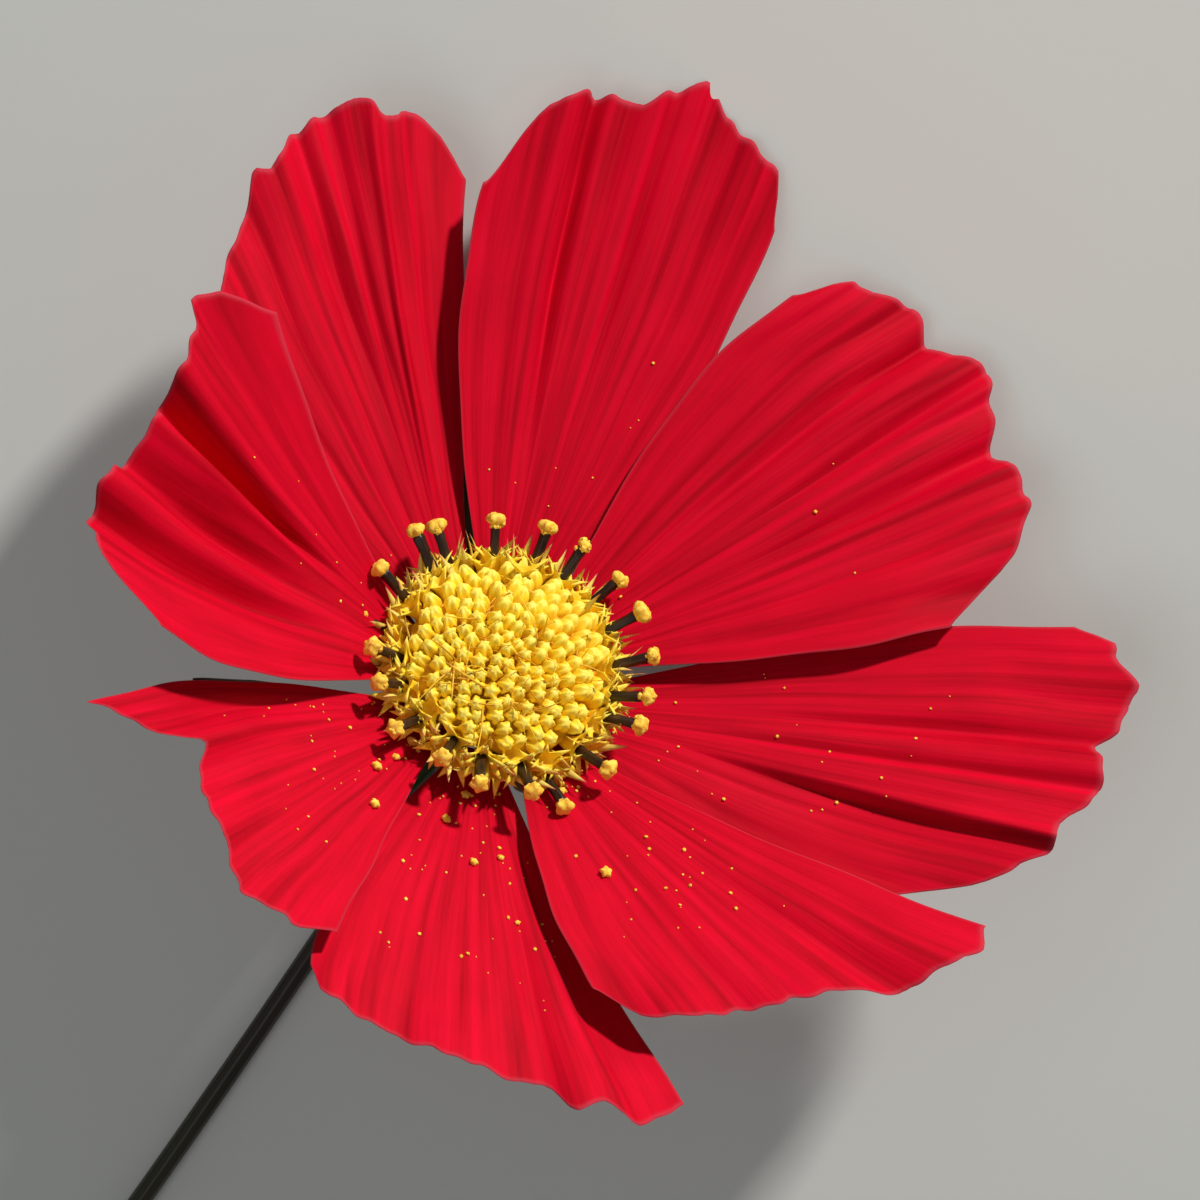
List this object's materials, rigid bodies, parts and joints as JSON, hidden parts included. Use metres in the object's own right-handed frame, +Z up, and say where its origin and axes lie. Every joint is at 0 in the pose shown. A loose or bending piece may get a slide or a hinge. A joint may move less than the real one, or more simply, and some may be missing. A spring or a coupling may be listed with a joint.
{
  "type": "cosmos flower",
  "caption": "Cut cosmos flower laid on a surface, with broad red toothed petals, a yellow disc of florets, narrow bracts and a thin dark stem.",
  "frame": {"origin": "on the surface that the flower lies on, under the middle of its box", "axes": "+X from the cut end of the stem towards the head, +Z up from the surface"},
  "size_m": [0.1224, 0.0719, 0.0485],
  "materials": {
    "stem": "satin",
    "green": "satin",
    "inner_bract": "satin",
    "petal": "matte",
    "disc": "matte"
  },
  "bodies": {
    "root": {"stem": "stem", "receptacle": "green", "outer_bract_1": "green", "outer_bract_2": "green", "outer_bract_3": "green", "outer_bract_4": "green", "outer_bract_5": "green", "outer_bract_6": "green", "outer_bract_7": "green", "outer_bract_8": "green", "inner_bract_1": "inner_bract", "inner_bract_2": "inner_bract", "inner_bract_3": "inner_bract", "inner_bract_4": "inner_bract", "inner_bract_5": "inner_bract", "inner_bract_6": "inner_bract", "inner_bract_7": "inner_bract", "inner_bract_8": "inner_bract", "petal_1": "petal", "petal_2": "petal", "petal_3": "petal", "petal_4": "petal", "petal_5": "petal", "petal_6": "petal", "petal_7": "petal", "petal_8": "petal", "inner_florets": "disc", "outer_floret_1": "disc", "outer_floret_2": "disc", "outer_floret_3": "disc", "outer_floret_4": "disc", "outer_floret_5": "disc", "outer_floret_6": "disc", "outer_floret_7": "disc", "outer_floret_8": "disc", "outer_floret_9": "disc", "outer_floret_10": "disc", "outer_floret_11": "disc", "outer_floret_12": "disc", "outer_floret_13": "disc", "outer_floret_14": "disc", "outer_floret_15": "disc", "outer_floret_16": "disc", "outer_floret_17": "disc", "outer_floret_18": "disc", "outer_floret_19": "disc", "outer_floret_20": "disc"}
  },
  "joints": []
}
